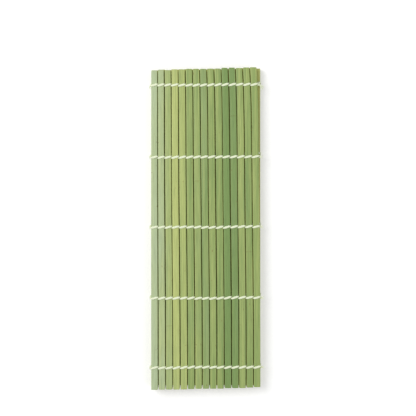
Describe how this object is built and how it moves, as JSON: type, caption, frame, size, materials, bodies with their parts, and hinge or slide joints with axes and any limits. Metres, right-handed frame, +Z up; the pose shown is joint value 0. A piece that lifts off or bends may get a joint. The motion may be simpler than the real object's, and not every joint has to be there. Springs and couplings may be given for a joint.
{
  "type": "sushi rolling mat",
  "caption": "Square mat of flat bamboo slats bound by five rows of twined cotton cord, folded in three, for rolling rice and seaweed.",
  "frame": {"origin": "on the table under the middle of the folded mat", "axes": "+Y along the slats, +X across them towards the mat's top free edge, +Z up"},
  "size_m": [0.0888, 0.2414, 0.0106],
  "materials": {
    "bamboo": "smooth green bamboo, satin",
    "cotton_cord": "undyed twisted cotton"
  },
  "bodies": {
    "base_third": {"base_slat_01": "bamboo", "base_slat_02": "bamboo", "base_slat_03": "bamboo", "base_slat_04": "bamboo", "base_slat_05": "bamboo", "base_slat_06": "bamboo", "base_slat_07": "bamboo", "base_slat_08": "bamboo", "base_slat_09": "bamboo", "base_slat_10": "bamboo", "base_slat_11": "bamboo", "base_slat_12": "bamboo", "base_slat_13": "bamboo", "base_slat_14": "bamboo", "base_slat_15": "bamboo", "base_cord_row_1": "cotton_cord", "base_cord_row_2": "cotton_cord", "base_cord_row_3": "cotton_cord", "base_cord_row_4": "cotton_cord", "base_cord_row_5": "cotton_cord", "base_edge_knots": "cotton_cord"},
    "middle_third": {"middle_slats": "bamboo", "middle_cord_row_1": "cotton_cord", "middle_cord_row_2": "cotton_cord", "middle_cord_row_3": "cotton_cord", "middle_cord_row_4": "cotton_cord", "middle_cord_row_5": "cotton_cord"},
    "slat_01": {"top_slat_01": "bamboo", "top_cord_01": "cotton_cord"},
    "slat_02": {"top_slat_02": "bamboo", "top_cord_02": "cotton_cord"},
    "slat_03": {"top_slat_03": "bamboo", "top_cord_03": "cotton_cord"},
    "slat_04": {"top_slat_04": "bamboo", "top_cord_04": "cotton_cord"},
    "slat_05": {"top_slat_05": "bamboo", "top_cord_05": "cotton_cord"},
    "slat_06": {"top_slat_06": "bamboo", "top_cord_06": "cotton_cord"},
    "slat_07": {"top_slat_07": "bamboo", "top_cord_07": "cotton_cord"},
    "slat_08": {"top_slat_08": "bamboo", "top_cord_08": "cotton_cord"},
    "slat_09": {"top_slat_09": "bamboo", "top_cord_09": "cotton_cord"},
    "slat_10": {"top_slat_10": "bamboo", "top_cord_10": "cotton_cord"},
    "slat_11": {"top_slat_11": "bamboo", "top_cord_11": "cotton_cord"},
    "slat_12": {"top_slat_12": "bamboo", "top_cord_12": "cotton_cord"},
    "slat_13": {"top_slat_13": "bamboo", "top_cord_13": "cotton_cord"},
    "slat_14": {"top_slat_14": "bamboo", "top_cord_14": "cotton_cord"},
    "slat_15": {"top_slat_15": "bamboo", "top_cord_15": "cotton_cord", "top_edge_knots": "cotton_cord"}
  },
  "joints": [
    {"name": "right_fold", "type": "hinge", "parent": "base_third", "child": "middle_third", "pos_m": [0.0414, 0, 0.0035], "axis": [0, 1, 0], "range_deg": [0, 180]},
    {"name": "left_fold", "type": "hinge", "parent": "middle_third", "child": "slat_01", "pos_m": [-0.0414, 0, 0.0071], "axis": [0, -1, 0], "range_deg": [0, 180]},
    {"name": "bend_01_02", "type": "hinge", "parent": "slat_01", "child": "slat_02", "pos_m": [-0.03575, 0, 0.0099], "axis": [0, -1, 0], "range_deg": [0, 20]},
    {"name": "bend_02_03", "type": "hinge", "parent": "slat_02", "child": "slat_03", "pos_m": [-0.03025, 0, 0.0099], "axis": [0, -1, 0], "range_deg": [0, 20]},
    {"name": "bend_03_04", "type": "hinge", "parent": "slat_03", "child": "slat_04", "pos_m": [-0.02475, 0, 0.0099], "axis": [0, -1, 0], "range_deg": [0, 20]},
    {"name": "bend_04_05", "type": "hinge", "parent": "slat_04", "child": "slat_05", "pos_m": [-0.01925, 0, 0.0099], "axis": [0, -1, 0], "range_deg": [0, 20]},
    {"name": "bend_05_06", "type": "hinge", "parent": "slat_05", "child": "slat_06", "pos_m": [-0.01375, 0, 0.0099], "axis": [0, -1, 0], "range_deg": [0, 20]},
    {"name": "bend_06_07", "type": "hinge", "parent": "slat_06", "child": "slat_07", "pos_m": [-0.00825, 0, 0.0099], "axis": [0, -1, 0], "range_deg": [0, 20]},
    {"name": "bend_07_08", "type": "hinge", "parent": "slat_07", "child": "slat_08", "pos_m": [-0.00275, 0, 0.0099], "axis": [0, -1, 0], "range_deg": [0, 20]},
    {"name": "bend_08_09", "type": "hinge", "parent": "slat_08", "child": "slat_09", "pos_m": [0.00275, 0, 0.0099], "axis": [0, -1, 0], "range_deg": [0, 20]},
    {"name": "bend_09_10", "type": "hinge", "parent": "slat_09", "child": "slat_10", "pos_m": [0.00825, 0, 0.0099], "axis": [0, -1, 0], "range_deg": [0, 20]},
    {"name": "bend_10_11", "type": "hinge", "parent": "slat_10", "child": "slat_11", "pos_m": [0.01375, 0, 0.0099], "axis": [0, -1, 0], "range_deg": [0, 20]},
    {"name": "bend_11_12", "type": "hinge", "parent": "slat_11", "child": "slat_12", "pos_m": [0.01925, 0, 0.0099], "axis": [0, -1, 0], "range_deg": [0, 20]},
    {"name": "bend_12_13", "type": "hinge", "parent": "slat_12", "child": "slat_13", "pos_m": [0.02475, 0, 0.0099], "axis": [0, -1, 0], "range_deg": [0, 20]},
    {"name": "bend_13_14", "type": "hinge", "parent": "slat_13", "child": "slat_14", "pos_m": [0.03025, 0, 0.0099], "axis": [0, -1, 0], "range_deg": [0, 20]},
    {"name": "bend_14_15", "type": "hinge", "parent": "slat_14", "child": "slat_15", "pos_m": [0.03575, 0, 0.0099], "axis": [0, -1, 0], "range_deg": [0, 20]}
  ]
}
